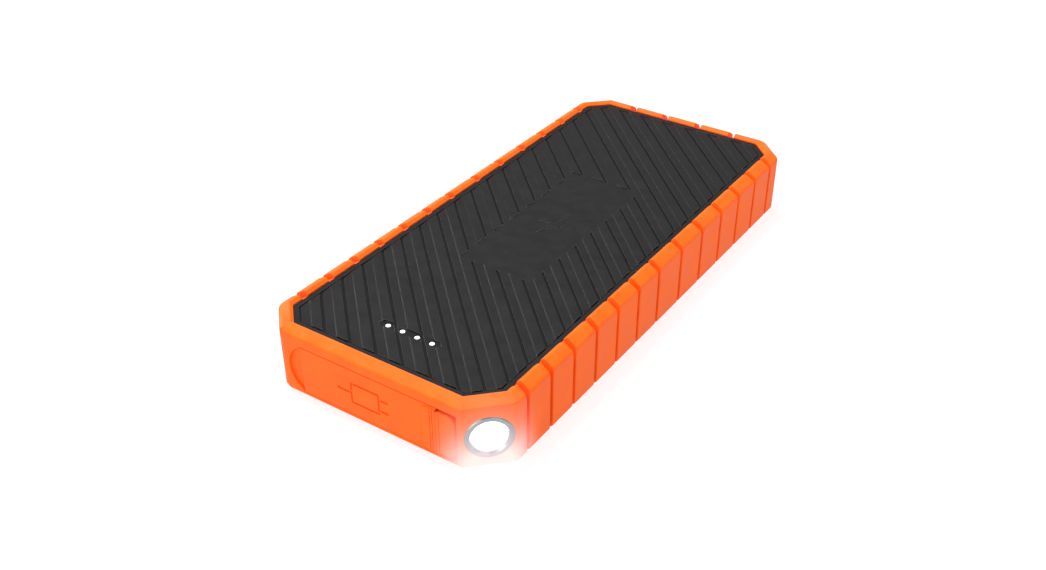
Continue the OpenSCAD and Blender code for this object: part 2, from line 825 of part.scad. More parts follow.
// One pouch cell with its sealed edges folded in
module pouch(i) {
    z = stack_z + i * (cell_t + tape_t);
    edge = 0.8;
    color("lightsteelblue") hull() {
        block([-cell_w / 2, cell_y0, z + edge], [cell_w / 2, cell_y1, z + cell_t - edge - fit]);
        block([-cell_w / 2 + edge, cell_y0 + edge, z + fit],
            [cell_w / 2 - edge, cell_y1 - edge, z + cell_t - fit]);
    }
}

module cell_bottom() { pouch(0); }

module cell_middle() { pouch(1); }

module cell_top() { pouch(cell_count - 1); }

module cell_tapes() {
    color("khaki") for (i = [1 : cell_count - 1])
        translate([0, 0, stack_z + i * cell_t + (i - 1) * tape_t])
            block([-cell_w / 2 + 6, cell_y0 + 8, 0], [cell_w / 2 - 6, cell_y1 - 8, tape_t]);
}

module foam_bottom() {
    color("dimgray") block([-cell_w / 2 + 2, cell_y0 + 2, floor_z + fit / 2],
        [cell_w / 2 - 2, cell_y1 - 2, floor_z + foam_t]);
}

module foam_top() {
    color("dimgray") block([-cell_w / 2 + 2, cell_y0 + 2, stack_z + stack_h + fit / 2],
        [cell_w / 2 - 2, cell_y1 - 2, roof_z - fit / 2]);
}

module cell_tabs() {
    color("silver") for (i = [0 : cell_count - 1], s = [-1, 1])
        translate([s * 15 - 4, balance_y + fit, stack_z + i * (cell_t + tape_t) + cell_t / 2])
            cube([8, cell_y0 - balance_y - 2 * fit, 0.2]);
}

module balance_board() {
    color("darkgreen") block([-in_x + 7, balance_y - balance_t, floor_z + 1.5],
        [in_x - 7, balance_y, roof_z - 1.5]);
}

// A heavy lead from a jump contact over the board to the balance board
module lead(x) {
    end_y = balance_y - balance_t - fit;
    start_y = contact_end + fit;
    end_z = flap_z + 1;
    tail = 0.6;
    bend = 5;
    top_y = (start_y + end_y) / 2;
    rise = curve([
        [x, start_y + tail, flap_z], [x, start_y + bend, flap_z],
        [x, top_y - 1.6 * bend, lead_z], [x, top_y, lead_z]
    ], 8);
    fall = curve([
        [x, top_y, lead_z], [x, top_y + 1.6 * bend, lead_z],
        [x, end_y - bend, end_z], [x, end_y - tail, end_z]
    ], 8);
    middle = concat([for (i = [0 : 7]) rise[i]], fall);
    wire(concat([[x, start_y, flap_z]], middle, [[x, end_y, end_z]]), lead_r, [1, 0, 0]);
}

module lead_red() { color("red") lead(jump_x - jump_pitch / 2); }

module lead_black() { color("black") lead(jump_x + jump_pitch / 2); }

// ---- Torch ----

module torch_bezel() {
    seat_r = lens_r + 0.35;
    color("silver") at_torch() rotate_extrude() polygon([
        [lens_r, -0.7], [lens_r + 0.15, -0.3], [lens_r + 0.75, 0.25], [bezel_r - 0.3, 0.25],
        [bezel_r, -0.05], [bezel_r, -torch_wall + 0.7], [seat_r, -torch_wall + 0.7], [seat_r, -0.7]
    ]);
}

module torch_lens() {
    color("white") at_torch() rotate_extrude() polygon([
        [0, -2.1], [lens_r + 0.3, -2.1], [lens_r + 0.3, -0.75], [lens_r - 0.06, -0.75],
        [lens_r - 0.4, -0.3], [lens_r * 0.5, 0.0], [0, 0.1]
    ]);
}

module torch_seal() {
    color("black") at_torch() translate([0, 0, -torch_wall + fit]) difference() {
        cylinder(r = bezel_r - 0.1, h = 0.6);
        translate([0, 0, -1]) cylinder(r = lens_r + 0.4, h = 3);
    }
}

module torch_reflector() {
    steps = 6;
    back = reflector_back;
    front = 2.15;
    mouth_r = lens_r - 0.5;
    hole_r = 1.9;
    color("silver") at_torch() rotate_extrude() polygon(concat(
        [[lens_r + 0.3, -front], [lens_r + 0.3, -front - 0.5], [neck_r - 0.15, -front - 0.5]],
        [[neck_r - 0.15, -torch_wall - 1], [hole_r + 1.3, -back], [hole_r, -back]],
        [for (i = [0 : steps]) let (r = hole_r + (mouth_r - hole_r) * i / steps,
            k = (r * r - hole_r * hole_r) / (mouth_r * mouth_r - hole_r * hole_r))
            [r, -back + 0.3 + (back - 0.3 - front) * k]]
    ));
}

module torch_led() {
    z = -reflector_back - fit;
    color("yellow") at_torch() translate([0, 0, z]) {
        translate([-1.2, -1.2, 0]) cube([2.4, 2.4, 0.7]);
        cylinder(r = 0.9, h = 1.1);
    }
}

module torch_board() {
    color("white") at_torch() translate([0, 0, -reflector_back - 2 * fit - 1.2]) cylinder(r = 4.4, h = 1.2);
}

module torch_wires() {
    back = reflector_back + 1.2 + 4 * fit;
    bend = 5;
    tail = 0.3;
    start_x = torch_x - back / sqrt2;
    start_y = torch_y + back / sqrt2;
    pad_x = board_x1 - 2.2;
    pad_y = board_step_y + 2;
    color("red") for (s = [-1, 1]) {
        z = mid_z + s * 1.5;
        x = pad_x + s * 0.9;
        path = curve([
            [start_x - tail, start_y + tail, z], [start_x - bend, start_y + bend, z],
            [x, pad_y, z], [x, pad_y, board_top + tail]
        ], 10);
        wire(concat([[start_x, start_y, z]], path, [[x, pad_y, board_top + fit]]), 0.5, [1, 1, 0]);
    }
}

// ---- Charge gauge ----

module gauge_board() {
    half_l = gauge_span / 2 + 4.4;
    color("darkgreen") translate([gauge_x, gauge_y, gauge_board_z])
        block([-half_l, -2.5, 0], [half_l, 2.5, gauge_board_t - fit]);
}

module gauge_leds() {
    color("white") for (i = [0 : gauge_count - 1])
        translate([gauge_x + i * gauge_pitch - gauge_span / 2, gauge_y, gauge_board_z + gauge_led_z])
            cube([1.6, 1, 0.5], center = true);
}

module light_guide() {
    half_l = gauge_span / 2 + 1.6;
    z = gauge_board_z + gauge_board_t + 0.6;
    color("white") translate([gauge_x, gauge_y, 0]) union() {
        block([-half_l, -1.5, z], [half_l, 1.5, roof_z - fit]);
        for (i = [0 : gauge_count - 1]) translate([i * gauge_pitch - gauge_span / 2, 0, z])
            cylinder(r = gauge_r, h = top_z - gauge_recess + 0.06 - z);
    }
}

module gauge_ribbon() {
    color("orange") translate([gauge_x, gauge_y + 2.5 + fit, 0])
        block([-2, 0, board_top + fit], [2, 0.3, gauge_board_z + gauge_board_t - fit]);
}

// ---- Power button ----

module power_button() {
    stem_l = plunger_x - 0.02 - button_lip_x;
    color("darkorange") union() {
        at_button(button_face_x) pill(button_w, button_h, button_lip_x - button_face_x);
        at_button(button_lip_x - button_lip) pill(button_w + 1.6, button_h + 1.6, button_lip);
        at_button(button_lip_x - 0.1) cylinder(r = stem_r, h = stem_l + 0.1);
    }
}

module switch_plunger() {
    color("black") at_button(plunger_x) cylinder(r = plunger_r, h = 2.6);
}

module switch_body() {
    z0 = board_top + fit;
    z1 = 2 * mid_z - z0;
    color("gray") difference() {
        block([switch_x, button_y - switch_w / 2, z0], [switch_x + switch_l, button_y + switch_w / 2, z1]);
        at_button(switch_x - 1) cylinder(r = plunger_r + move_gap, h = 1 + 2.2);
    }
}

bumper();
top_cover();
bottom_cover();
cover_gasket();
cover_screws();
port_plate();
port_flap();
flap_anchor();
jump_housing();
jump_contacts();
usb_a_shell();
usb_a_tongue();
usb_a_pins();
usb_c_shell();
usb_c_tongue();
main_board();
board_screws();
power_inductor();
power_transistors();
heat_spreader();
capacitors();
charge_controller();
cell_bottom();
cell_middle();
cell_top();
cell_tapes();
foam_bottom();
foam_top();
cell_tabs();
balance_board();
lead_red();
lead_black();
torch_bezel();
torch_lens();
torch_seal();
torch_reflector();
torch_led();
torch_board();
torch_wires();
gauge_board();
gauge_leds();
light_guide();
gauge_ribbon();
power_button();
switch_plunger();
switch_body();
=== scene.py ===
import math
import bpy
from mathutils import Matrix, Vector


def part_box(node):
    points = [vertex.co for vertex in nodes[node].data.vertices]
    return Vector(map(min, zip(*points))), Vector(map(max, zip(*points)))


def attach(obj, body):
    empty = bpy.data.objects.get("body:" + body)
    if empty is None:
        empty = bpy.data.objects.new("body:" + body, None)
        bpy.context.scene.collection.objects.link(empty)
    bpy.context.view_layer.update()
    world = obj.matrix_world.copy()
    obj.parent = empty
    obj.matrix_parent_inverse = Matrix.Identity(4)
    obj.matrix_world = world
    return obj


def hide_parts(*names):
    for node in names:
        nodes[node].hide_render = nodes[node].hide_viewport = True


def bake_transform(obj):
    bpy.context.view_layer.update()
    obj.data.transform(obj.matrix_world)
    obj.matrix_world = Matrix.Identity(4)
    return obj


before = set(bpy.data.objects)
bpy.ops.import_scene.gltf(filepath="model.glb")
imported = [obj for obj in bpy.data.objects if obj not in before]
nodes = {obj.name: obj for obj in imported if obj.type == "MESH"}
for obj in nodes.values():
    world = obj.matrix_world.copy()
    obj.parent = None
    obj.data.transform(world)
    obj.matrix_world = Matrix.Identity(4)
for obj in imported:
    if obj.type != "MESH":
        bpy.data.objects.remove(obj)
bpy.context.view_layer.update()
mm = 0.001
near = 0.05 * mm  # a corner this close to a place counts as being there


def deselectAll():
    if bpy.context.object and bpy.context.object.mode != "OBJECT":
        bpy.ops.object.mode_set(mode="OBJECT")
    bpy.ops.object.select_all(action="DESELECT")


def pick(piece):
    deselectAll()
    piece.select_set(True)
    bpy.context.view_layer.objects.active = piece


view = {
    "place": (0.1672, -0.2658, 0.2060),
    "aim": (0.01185, -0.03462, 0.0222),
    "lens": 40.23,
    "sensor": 36.0,
    "nearest": 0.01,
    "farthest": 20.0,
}


def turnTowards(place, aim):
    return (Vector(aim) - Vector(place)).to_track_quat("-Z", "Y").to_euler()


def addCamera():
    deselectAll()
    bpy.ops.object.camera_add(location=view["place"], rotation=turnTowards(view["place"], view["aim"]))
    camera = bpy.context.object
    camera.name = "productCamera"
    camera.data.lens = view["lens"]
    camera.data.sensor_width = view["sensor"]
    camera.data.clip_start = view["nearest"]
    camera.data.clip_end = view["farthest"]
    bpy.context.scene.camera = camera


addCamera()
print("camera placed")


def addNode(tree, kind, **sockets):
    node = tree.nodes.new(kind)
    for name, value in sockets.items():
        node.inputs[name].default_value = value
    return node


def mathNode(tree, operation, first, second=None, clamp=False):
    node = tree.nodes.new("ShaderNodeMath")
    node.operation = operation
    node.use_clamp = clamp
    for index, value in enumerate((first, second)):
        if value is None:
            continue
        if isinstance(value, (int, float)):
            node.inputs[index].default_value = value
        else:
            tree.links.new(value, node.inputs[index])
    return node.outputs["Value"]


# Runs smoothly from outLow to outHigh while value runs from low to high
def rangeNode(tree, value, low, high, outLow=0.0, outHigh=1.0):
    node = tree.nodes.new("ShaderNodeMapRange")
    node.interpolation_type = "SMOOTHSTEP"
    limits = (low, high, outLow, outHigh)
    for name, limit in zip(("From Min", "From Max", "To Min", "To Max"), limits):
        if isinstance(limit, (int, float)):
            node.inputs[name].default_value = limit
        else:
            tree.links.new(limit, node.inputs[name])
    tree.links.new(value, node.inputs["Value"])
    return node.outputs["Result"]


def noiseNode(tree, vector, scale, detail=3.0, rough=0.5):
    node = tree.nodes.new("ShaderNodeTexNoise")
    node.inputs["Detail"].default_value = detail
    node.inputs["Roughness"].default_value = rough
    tree.links.new(vector, node.inputs["Vector"])
    if isinstance(scale, (int, float)):
        node.inputs["Scale"].default_value = scale
    else:
        tree.links.new(scale, node.inputs["Scale"])
    return node.outputs["Fac"]


# The Mix node has its colours on sockets 6 and 7, and gives its colour on 2
def mixColour(tree, factor, first, second):
    node = tree.nodes.new("ShaderNodeMix")
    node.data_type = "RGBA"
    for index, value in ((0, factor), (6, first), (7, second)):
        if isinstance(value, (int, float, tuple)):
            node.inputs[index].default_value = value
        else:
            tree.links.new(value, node.inputs[index])
    return node.outputs[2]


def newGroup(name, inputs, outputs):
    group = bpy.data.node_groups.new(name, "ShaderNodeTree")
    for label, kind, value in inputs:
        socket = group.interface.new_socket(label, in_out="INPUT", socket_type=kind)
        if value is not None:
            socket.default_value = value
    for label, kind in outputs:
        group.interface.new_socket(label, in_out="OUTPUT", socket_type=kind)
    enter = group.nodes.new("NodeGroupInput")
    leave = group.nodes.new("NodeGroupOutput")
    return group, enter.outputs, leave.inputs


floatSocket = "NodeSocketFloat"
vectorSocket = "NodeSocketVector"

grainShape = {
    "pitScale": 0.55,
    "pitShare": 0.6,
    "broadScale": 0.035,
    "mottle": (0.3, 0.7),
}


# Fine grain of a moulded or cast surface, with a broad unevenness under it
def makeGrain():
    group, given, wanted = newGroup(
        "surfaceGrain",
        (
            ("Vector", vectorSocket, None), ("Scale", floatSocket, 3000.0),
            ("Waviness", floatSocket, 0.3),
        ),
        (("Height", floatSocket), ("Mottle", floatSocket)),
    )
    fine = noiseNode(group, given["Vector"], given["Scale"], detail=2.0, rough=0.6)
    pits = group.nodes.new("ShaderNodeTexVoronoi")
    group.links.new(given["Vector"], pits.inputs["Vector"])
    pitScale = mathNode(group, "MULTIPLY", given["Scale"], grainShape["pitScale"])
    group.links.new(pitScale, pits.inputs["Scale"])
    broadScale = mathNode(group, "MULTIPLY", given["Scale"], grainShape["broadScale"])
    broad = noiseNode(group, given["Vector"], broadScale, detail=3.0)
    pitHeight = mathNode(group, "MULTIPLY", pits.outputs["Distance"], grainShape["pitShare"])
    grain = mathNode(group, "ADD", pitHeight, fine)
    waves = mathNode(group, "MULTIPLY", broad, given["Waviness"])
    group.links.new(mathNode(group, "ADD", grain, waves), wanted["Height"])
    group.links.new(rangeNode(group, broad, *grainShape["mottle"]), wanted["Mottle"])
    return group


wearAndSheenShape = {
    "turn": (0.02, 0.25),
    "patches": (0.25, 0.6),
    "leastEdgeShare": 0.35,
}


# Mask of the outward edges, broken up a little as handling does; it lightens them as real wear and as
# painted highlight
def makeEdgeWearAndSheen():
    group, given, wanted = newGroup(
        "edgeWearAndSheen",
        (
            ("Vector", vectorSocket, None), ("Radius", floatSocket, 0.0004),
            ("Breakup", floatSocket, 900.0),
        ),
        (("Mask", floatSocket),),
    )
    rounded = group.nodes.new("ShaderNodeBevel")
    rounded.samples = 4
    group.links.new(given["Radius"], rounded.inputs["Radius"])
    flat = group.nodes.new("ShaderNodeNewGeometry")
    dot = group.nodes.new("ShaderNodeVectorMath")
    dot.operation = "DOT_PRODUCT"
    group.links.new(rounded.outputs["Normal"], dot.inputs[0])
    group.links.new(flat.outputs["Normal"], dot.inputs[1])
    turned = rangeNode(group, mathNode(group, "SUBTRACT", 1.0, dot.outputs["Value"]), *wearAndSheenShape["turn"])
    patches = noiseNode(group, given["Vector"], given["Breakup"], detail=3.0, rough=0.6)
    patchy = rangeNode(group, patches, *wearAndSheenShape["patches"], wearAndSheenShape["leastEdgeShare"], 1.0)
    group.links.new(mathNode(group, "MULTIPLY", turned, patchy), wanted["Mask"])
    return group


dustShape = {
    "speckScale": 22.0,
    "clouds": (0.4, 0.75),
    "specks": (0.45, 0.7),
}


# Fine dust that gathers unevenly
def makeDust():
    group, given, wanted = newGroup(
        "lightDust",
        (
            ("Vector", vectorSocket, None), ("Scale", floatSocket, 120.0),
            ("Amount", floatSocket, 0.1),
        ),
        (("Mask", floatSocket),),
    )
    clouds = noiseNode(group, given["Vector"], given["Scale"], detail=6.0, rough=0.65)
    speckScale = mathNode(group, "MULTIPLY", given["Scale"], dustShape["speckScale"])
    specks = noiseNode(group, given["Vector"], speckScale, detail=2.0)
    settled = rangeNode(group, clouds, *dustShape["clouds"])
    spotted = rangeNode(group, specks, *dustShape["specks"])
    dusty = mathNode(group, "MULTIPLY", settled, spotted)
    group.links.new(mathNode(group, "MULTIPLY", dusty, given["Amount"]), wanted["Mask"])
    return group


glowFall = 1.6  # how fast the glow fades, as a power


# Light that spreads in the surface round a point, brightest at the point
def makeGlow():
    group, given, wanted = newGroup(
        "lampGlow",
        (
            ("Vector", vectorSocket, None), ("Centre", vectorSocket, None),
            ("Core", floatSocket, 0.007), ("Reach", floatSocket, 0.016),
        ),
        (("Mask", floatSocket),),
    )
    away = group.nodes.new("ShaderNodeVectorMath")
    away.operation = "DISTANCE"
    group.links.new(given["Vector"], away.inputs[0])
    group.links.new(given["Centre"], away.inputs[1])
    fade = rangeNode(group, away.outputs["Value"], given["Core"], given["Reach"], 1.0, 0.0)
    group.links.new(mathNode(group, "POWER", fade, glowFall), wanted["Mask"])
    return group


grainGroup = makeGrain()
edgeWearSheenGroup = makeEdgeWearAndSheen()
dustGroup = makeDust()
glowGroup = makeGlow()


def useGroup(tree, group, coordinates, **values):
    node = tree.nodes.new("ShaderNodeGroup")
    node.node_tree = group
    tree.links.new(coordinates, node.inputs["Vector"])
    for name, value in values.items():
        node.inputs[name].default_value = value
    return node.outputs


dustColour = (0.55, 0.52, 0.48, 1.0)


# A finish from its colours, in linear values, and its grain, in waves per metre; lengths are in metres
def makeFinish(name, look):
    material = bpy.data.materials.new(name)
    material.use_nodes = True
    tree = material.node_tree
    shader = tree.nodes["Principled BSDF"]
    coordinates = tree.nodes.new("ShaderNodeTexCoord").outputs["Object"]
    grain = useGroup(tree, grainGroup, coordinates, Scale=look["grain"], Waviness=look.get("wave", 0.3))
    edge = useGroup(tree, edgeWearSheenGroup, coordinates, Radius=look.get("edge", 0.0003))
    dust = useGroup(tree, dustGroup, coordinates, Amount=look.get("dust", 0.05))
    colour = mixColour(tree, grain["Mottle"], look["colour"] + (1.0,), look["second"] + (1.0,))
    # The edge colour is real wear and, on some finishes, a painted highlight
    wearAndSheen = mathNode(tree, "MULTIPLY", edge["Mask"], look.get("wearAndSheen", 0.5))
    colour = mixColour(tree, wearAndSheen, colour, look["wornAndSheen"] + (1.0,))
    colour = mixColour(tree, dust["Mask"], colour, dustColour)
    tree.links.new(colour, shader.inputs["Base Color"])
    rough = look["rough"]
    spread = look.get("spread", 0.06)
    roughness = rangeNode(tree, grain["Mottle"], 0.0, 1.0, rough - spread, rough + spread)
    tree.links.new(roughness, shader.inputs["Roughness"])
    bump = addNode(tree, "ShaderNodeBump", Strength=look["bump"], Distance=look.get("depth", 0.00004))
    tree.links.new(grain["Height"], bump.inputs["Height"])
    if look.get("round"):
        rounded = addNode(tree, "ShaderNodeBevel", Radius=look["round"])
        rounded.samples = 4
        tree.links.new(rounded.outputs["Normal"], bump.inputs["Normal"])
    tree.links.new(bump.outputs["Normal"], shader.inputs["Normal"])
    for socket, value in look.get("sockets", {}).items():
        shader.inputs[socket].default_value = value
    return material


plastic = {"IOR": 1.5, "Specular IOR Level": 0.35}
metal = {"Metallic": 1.0}

# colour and second mottle into each other, and the edge colour shows on the edges, as wear and as painted
# highlight, edge wide and the edge share strong;
# grain is fine, wave is how much broad unevenness lies under it; round softens sharp CAD edges
finishes = {
    "bumperRubber": {
        "colour": (0.94, 0.124, 0.008), "second": (1.0, 0.144, 0.011), "wornAndSheen": (1.0, 0.21, 0.03),
        "grain": 5200.0, "wave": 0.5, "edge": 0.0005, "wearAndSheen": 0.35, "dust": 0.02, "rough": 0.5,
        "bump": 0.22, "depth": 0.00003, "sockets": {"Specular IOR Level": 0.12},
    },
    # The cover's light grey edge colour is mostly painted highlight along the slats' ramps and edges, with
    # a little wear
    "coverPlastic": {
        "colour": (0.009, 0.0091, 0.0094), "second": (0.012, 0.0121, 0.0124), "wornAndSheen": (0.22, 0.22, 0.223),
        "grain": 6500.0, "wave": 0.2, "edge": 0.00018, "wearAndSheen": 0.75, "dust": 0.015, "rough": 0.5,
        "bump": 0.3, "depth": 0.00003, "sockets": {"Specular IOR Level": 0.14},
    },
    "sealRubber": {
        "colour": (0.014, 0.014, 0.015), "second": (0.022, 0.022, 0.023), "wornAndSheen": (0.05, 0.05, 0.05),
        "grain": 4200.0, "rough": 0.62, "bump": 0.25, "sockets": plastic,
    },
    "screwSteel": {
        "colour": (0.45, 0.46, 0.47), "second": (0.53, 0.54, 0.55), "wornAndSheen": (0.75, 0.75, 0.76),
        "grain": 2600.0, "rough": 0.32, "bump": 0.12, "round": 0.0001, "sockets": metal,
    },
    "socketBlue": {
        "colour": (0.012, 0.075, 0.42), "second": (0.016, 0.095, 0.5), "wornAndSheen": (0.08, 0.2, 0.62),
        "grain": 5200.0, "rough": 0.45, "bump": 0.2, "round": 0.0001, "sockets": plastic,
    },
    "contactGold": {
        "colour": (0.86, 0.58, 0.2), "second": (0.92, 0.66, 0.28), "wornAndSheen": (0.95, 0.78, 0.5),
        "grain": 3000.0, "rough": 0.24, "bump": 0.08, "round": 0.00008, "sockets": metal,
    },
    "plugSteel": {
        "colour": (0.56, 0.57, 0.58), "second": (0.64, 0.65, 0.66), "wornAndSheen": (0.82, 0.82, 0.83),
        "grain": 2400.0, "rough": 0.28, "bump": 0.1, "round": 0.0001, "sockets": metal,
    },
    "insulatorWhite": {
        "colour": (0.72, 0.71, 0.68), "second": (0.8, 0.79, 0.76), "wornAndSheen": (0.9, 0.9, 0.88),
        "grain": 5200.0, "rough": 0.42, "bump": 0.15, "round": 0.00008, "sockets": plastic,
    },
    "insulatorBlack": {
        "colour": (0.012, 0.012, 0.013), "second": (0.02, 0.02, 0.021), "wornAndSheen": (0.06, 0.06, 0.06),
        "grain": 5200.0, "rough": 0.42, "bump": 0.15, "round": 0.00008, "sockets": plastic,
    },
    "circuitBoard": {
        "colour": (0.008, 0.075, 0.03), "second": (0.012, 0.11, 0.045), "wornAndSheen": (0.3, 0.27, 0.12),
        "grain": 1500.0, "wave": 0.8, "rough": 0.34, "bump": 0.2, "sockets": plastic,
    },
    "ferriteGrey": {
        "colour": (0.045, 0.046, 0.05), "second": (0.07, 0.072, 0.076), "wornAndSheen": (0.16, 0.16, 0.17),
        "grain": 1800.0, "rough": 0.7, "bump": 0.5, "sockets": plastic,
    },
    "chipBlack": {
        "colour": (0.014, 0.014, 0.015), "second": (0.021, 0.021, 0.022), "wornAndSheen": (0.07, 0.07, 0.07),
        "grain": 6000.0, "rough": 0.55, "bump": 0.3, "round": 0.00006, "sockets": plastic,
    },
    "heatAluminium": {
        "colour": (0.62, 0.63, 0.64), "second": (0.7, 0.71, 0.72), "wornAndSheen": (0.88, 0.88, 0.88),
        "grain": 1600.0, "rough": 0.4, "bump": 0.18, "sockets": metal,
    },
    "canAluminium": {
        "colour": (0.7, 0.71, 0.72), "second": (0.78, 0.79, 0.8), "wornAndSheen": (0.9, 0.9, 0.9),
        "grain": 2200.0, "rough": 0.3, "bump": 0.1, "sockets": metal,
    },
    "cellFoil": {
        "colour": (0.55, 0.57, 0.6), "second": (0.66, 0.68, 0.7), "wornAndSheen": (0.85, 0.86, 0.88),
        "grain": 700.0, "wave": 1.2, "rough": 0.36, "bump": 0.5, "depth": 0.00012, "sockets": metal,
    },
    "tapeAmber": {
        "colour": (0.55, 0.3, 0.05), "second": (0.64, 0.38, 0.08), "wornAndSheen": (0.75, 0.55, 0.25),
        "grain": 1200.0, "wave": 1.0, "rough": 0.35, "bump": 0.3, "sockets": plastic,
    },
    "foamGrey": {
        "colour": (0.05, 0.05, 0.052), "second": (0.085, 0.085, 0.088), "wornAndSheen": (0.14, 0.14, 0.14),
        "grain": 1500.0, "wave": 0.6, "rough": 0.92, "spread": 0.04, "bump": 0.9, "depth": 0.00015,
    },
    "tabNickel": {
        "colour": (0.6, 0.57, 0.5), "second": (0.68, 0.65, 0.58), "wornAndSheen": (0.82, 0.8, 0.74),
        "grain": 2000.0, "rough": 0.3, "bump": 0.1, "sockets": metal,
    },
    "leadRed": {
        "colour": (0.55, 0.018, 0.012), "second": (0.65, 0.03, 0.02), "wornAndSheen": (0.8, 0.15, 0.1),
        "grain": 3000.0, "rough": 0.4, "bump": 0.15, "sockets": plastic,
    },
    "leadBlack": {
        "colour": (0.012, 0.012, 0.012), "second": (0.02, 0.02, 0.02), "wornAndSheen": (0.06, 0.06, 0.06),
        "grain": 3000.0, "rough": 0.4, "bump": 0.15, "sockets": plastic,
    },
    "bezelMetal": {
        "colour": (0.28, 0.295, 0.295), "second": (0.35, 0.365, 0.365), "wornAndSheen": (0.6, 0.61, 0.61),
        "grain": 3600.0, "rough": 0.34, "bump": 0.12, "round": 0.00012, "sockets": metal,
    },
    "reflectorMirror": {
        "colour": (0.88, 0.88, 0.88), "second": (0.93, 0.93, 0.93), "wornAndSheen": (0.97, 0.97, 0.97),
        "grain": 1500.0, "rough": 0.08, "spread": 0.03, "bump": 0.05, "sockets": metal,
    },
    "torchCore": {
        "colour": (0.7, 0.72, 0.72), "second": (0.8, 0.82, 0.82), "wornAndSheen": (0.9, 0.9, 0.9),
        "grain": 2600.0, "rough": 0.5, "bump": 0.2, "sockets": plastic,
    },
    "ribbonFilm": {
        "colour": (0.5, 0.2, 0.02), "second": (0.6, 0.27, 0.04), "wornAndSheen": (0.75, 0.5, 0.2),
        "grain": 2000.0, "rough": 0.3, "bump": 0.15, "sockets": plastic,
    },
}

materials = {}
for finishName, finishLook in finishes.items():
    materials[finishName] = makeFinish(finishName, finishLook)

glowPatches = (0.3, 0.7)


# A lit plastic or lamp, whose glow is faintly uneven
def makeLit(name, look):
    material = makeFinish(name, look)
    tree = material.node_tree
    shader = tree.nodes["Principled BSDF"]
    coordinates = tree.nodes.new("ShaderNodeTexCoord").outputs["Object"]
    uneven = rangeNode(tree, noiseNode(tree, coordinates, look["cells"], detail=2.0), *glowPatches)
    glow = mixColour(tree, uneven, look["dim"] + (1.0,), look["bright"] + (1.0,))
    tree.links.new(glow, shader.inputs["Emission Color"])
    shader.inputs["Emission Strength"].default_value = look["light"]
    return material


litFinishes = {
    "torchGlow": {
        "colour": (0.85, 0.87, 0.88), "second": (0.9, 0.92, 0.93), "wornAndSheen": (0.95, 0.95, 0.95),
        "grain": 2600.0, "rough": 0.12, "bump": 0.05, "cells": 500.0, "dim": (0.93, 0.97, 1.0),
        "bright": (1.0, 1.0, 1.0), "light": 4.0, "sockets": plastic,
    },
    "ledGlow": {
        "colour": (0.8, 0.7, 0.2), "second": (0.9, 0.8, 0.3), "wornAndSheen": (0.95, 0.9, 0.6),
        "grain": 3000.0, "rough": 0.4, "bump": 0.1, "cells": 1500.0, "dim": (1.0, 0.96, 0.85),
        "bright": (1.0, 1.0, 0.95), "light": 5.0, "sockets": plastic,
    },
    "gaugeGlow": {
        "colour": (0.8, 0.82, 0.82), "second": (0.88, 0.9, 0.9), "wornAndSheen": (0.95, 0.95, 0.95),
        "grain": 3000.0, "rough": 0.3, "bump": 0.08, "cells": 1100.0, "dim": (0.8, 0.84, 0.86),
        "bright": (0.95, 0.98, 1.0), "light": 0.62, "sockets": plastic,
    },
}

for litName, litLook in litFinishes.items():
    materials[litName] = makeLit(litName, litLook)


# Painted light of the lit torch, as emission in the rubber and the bezel round it: hard below it, faintly
# all round
torchLight = {
    "below": {"Centre": (0.0365, -0.0855, 0.0), "Core": 0.0045, "Reach": 0.0205},
    "round": {"Centre": (0.0362, -0.0850, 0.0095), "Core": 0.0060, "Reach": 0.0200},
    "roundShare": 0.16,
    "tint": (1.0, 0.76, 0.84),
    "rubber": 1.0,
    "bezel": 0.45,
}


# Paints the torch's light into the material as emission: a painted glow on a part that is no lamp
def paintTorchGlow(material, strength):
    tree = material.node_tree
    shader = tree.nodes["Principled BSDF"]
    coordinates = tree.nodes.new("ShaderNodeTexCoord").outputs["Object"]
    below = useGroup(tree, glowGroup, coordinates, **torchLight["below"])
    around = useGroup(tree, glowGroup, coordinates, **torchLight["round"])
    faint = mathNode(tree, "MULTIPLY", around["Mask"], torchLight["roundShare"])
    share = mathNode(tree, "ADD", below["Mask"], faint, clamp=True)
    lightColour = mixColour(tree, share, (0.0, 0.0, 0.0, 1.0), torchLight["tint"] + (1.0,))
    tree.links.new(lightColour, shader.inputs["Emission Color"])
    shader.inputs["Emission Strength"].default_value = strength


paintTorchGlow(materials["bumperRubber"], torchLight["rubber"])
paintTorchGlow(materials["bezelMetal"], torchLight["bezel"])

# Heights from the middle of the pack; the grooves lie closer to it than the slats' faces
grooves = {
    "middle": 11.6 * mm,
    "deep": 9.98 * mm,
    "shallow": 10.22 * mm,
    "shade": 0.75,
    "dark": (0.0015, 0.0015, 0.0016, 1.0),
}


# The slats' grooves hold less light than their faces
def shadeGrooves(material):
    tree = material.node_tree
    shader = tree.nodes["Principled BSDF"]
    colour = shader.inputs["Base Color"].links[0].from_socket
    axes = tree.nodes.new("ShaderNodeSeparateXYZ")
    tree.links.new(tree.nodes.new("ShaderNodeTexCoord").outputs["Object"], axes.inputs["Vector"])
    height = mathNode(tree, "SUBTRACT", axes.outputs["Z"], grooves["middle"])
    away = mathNode(tree, "ABSOLUTE", height)
    deep = rangeNode(tree, away, grooves["deep"], grooves["shallow"], grooves["shade"], 0.0)
    tree.links.new(mixColour(tree, deep, colour, grooves["dark"]), shader.inputs["Base Color"])


shadeGrooves(materials["coverPlastic"])

